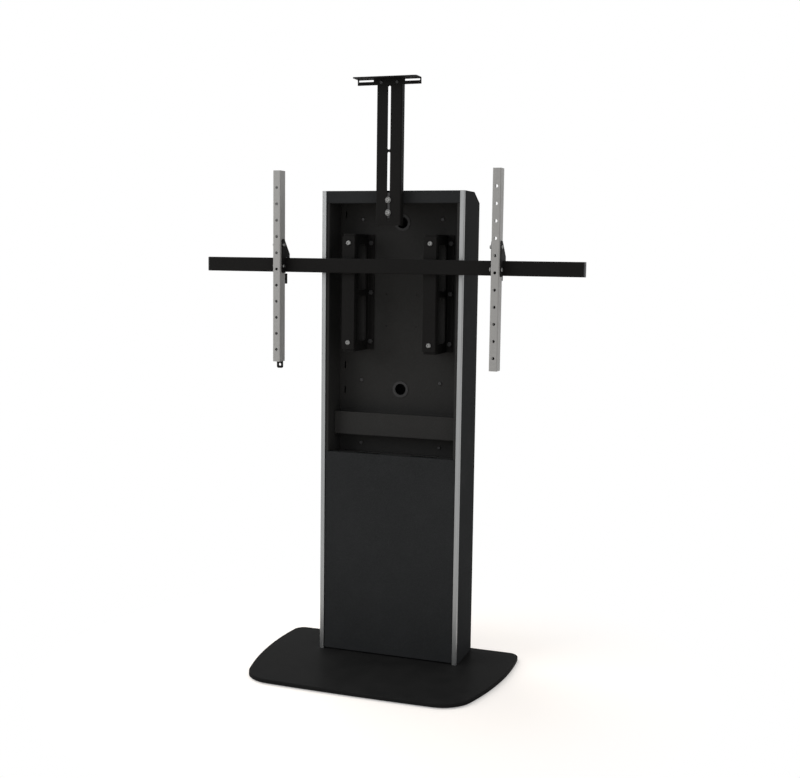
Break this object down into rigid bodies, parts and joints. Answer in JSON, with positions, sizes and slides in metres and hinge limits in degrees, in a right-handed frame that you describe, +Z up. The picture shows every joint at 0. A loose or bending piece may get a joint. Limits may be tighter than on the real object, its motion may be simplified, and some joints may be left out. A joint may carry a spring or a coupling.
{
  "type": "display floor stand",
  "caption": "Black floor stand for a large display: bowed foot plate, slim equipment column with silver edges, wide rail with two hook-on arms and a slotted mast with a camera shelf.",
  "frame": {"origin": "centre of the stand's footprint on the floor", "axes": "+Z up, -Y towards the front where the display hangs, +X to the right seen from the front"},
  "size_m": [1.214, 0.5179, 1.809],
  "materials": {
    "foot_black": "satin powder coat",
    "column_black": "satin powder coat",
    "bay_black": "matt powder coat",
    "rail_black": "satin powder coat",
    "trim_silver": "satin anodised",
    "arm_grey": "satin light grey",
    "plastic": "fine grain",
    "rubber": "matt",
    "zinc": "dull zinc plated",
    "screw_black": "black oxide",
    "lock_chrome": "polished"
  },
  "bodies": {
    "stand": {"back_plate_screws": "screw_black", "base_pads": "rubber", "base_plate": "foot_black", "bay_back_plate": "bay_black", "bay_floor": "bay_black", "cable_grommets": "rubber", "carrier_bolts": "screw_black", "column_foot": "bay_black", "display_rail": "rail_black", "door_brackets": "bay_black", "equipment_tray": "bay_black", "foot_bolts": "zinc", "guide_screws": "screw_black", "left_bay_side": "bay_black", "left_front_trim": "trim_silver", "left_rail_carrier": "rail_black", "left_rail_strap": "rail_black", "left_side_panel": "column_black", "left_upright": "bay_black", "mast_bolts": "zinc", "mast_guide": "plastic", "panel_studs": "zinc", "rail_bolts": "zinc", "rail_end_caps": "plastic", "right_bay_side": "bay_black", "right_front_trim": "trim_silver", "right_rail_carrier": "rail_black", "right_rail_strap": "rail_black", "right_side_panel": "column_black", "right_upright": "bay_black", "top_cap": "column_black", "tray_screws": "screw_black"},
    "front_panel": {"front_panel": "column_black"},
    "rear_door": {"rear_door": "column_black", "lock_cylinder": "lock_chrome"},
    "door_lock": {"lock_cam": "lock_chrome"},
    "mast": {"camera_mast": "rail_black", "camera_shelf": "rail_black", "shelf_screws": "screw_black"},
    "left_arm": {"left_arm": "arm_grey", "left_arm_hooks": "rail_black", "left_hook_bolts": "zinc", "left_latch_guides": "plastic"},
    "right_arm": {"right_arm": "arm_grey", "right_arm_hooks": "rail_black", "right_hook_bolts": "zinc", "right_latch_guides": "plastic"},
    "left_latch": {"left_latch": "rail_black"},
    "right_latch": {"right_latch": "rail_black"}
  },
  "joints": [
    {"name": "left_arm_slide", "type": "slide", "parent": "stand", "child": "left_arm", "axis": [1, 0, 0], "range_m": [-0.23, 0.18]},
    {"name": "right_arm_slide", "type": "slide", "parent": "stand", "child": "right_arm", "axis": [1, 0, 0], "range_m": [-0.18, 0.23]},
    {"name": "left_latch_slide", "type": "slide", "parent": "left_arm", "child": "left_latch", "axis": [0, 0, 1], "range_m": [0, 0.022]},
    {"name": "right_latch_slide", "type": "slide", "parent": "right_arm", "child": "right_latch", "axis": [0, 0, 1], "range_m": [-0.022, 0]},
    {"name": "mast_slide", "type": "slide", "parent": "stand", "child": "mast", "axis": [0, 0, 1], "range_m": [-0.1, 0.02]},
    {"name": "front_panel_lift", "type": "slide", "parent": "stand", "child": "front_panel", "axis": [0, 0, 1], "range_m": [0, 0.01]},
    {"name": "rear_door_hinge", "type": "hinge", "parent": "stand", "child": "rear_door", "pos_m": [-0.1985, 0.234, 0.725], "axis": [0, 0, 1], "range_deg": [0, 110]},
    {"name": "door_lock_turn", "type": "hinge", "parent": "rear_door", "child": "door_lock", "pos_m": [0.185, 0.2315, 0.725], "axis": [0, 1, 0], "range_deg": [0, 90]}
  ]
}
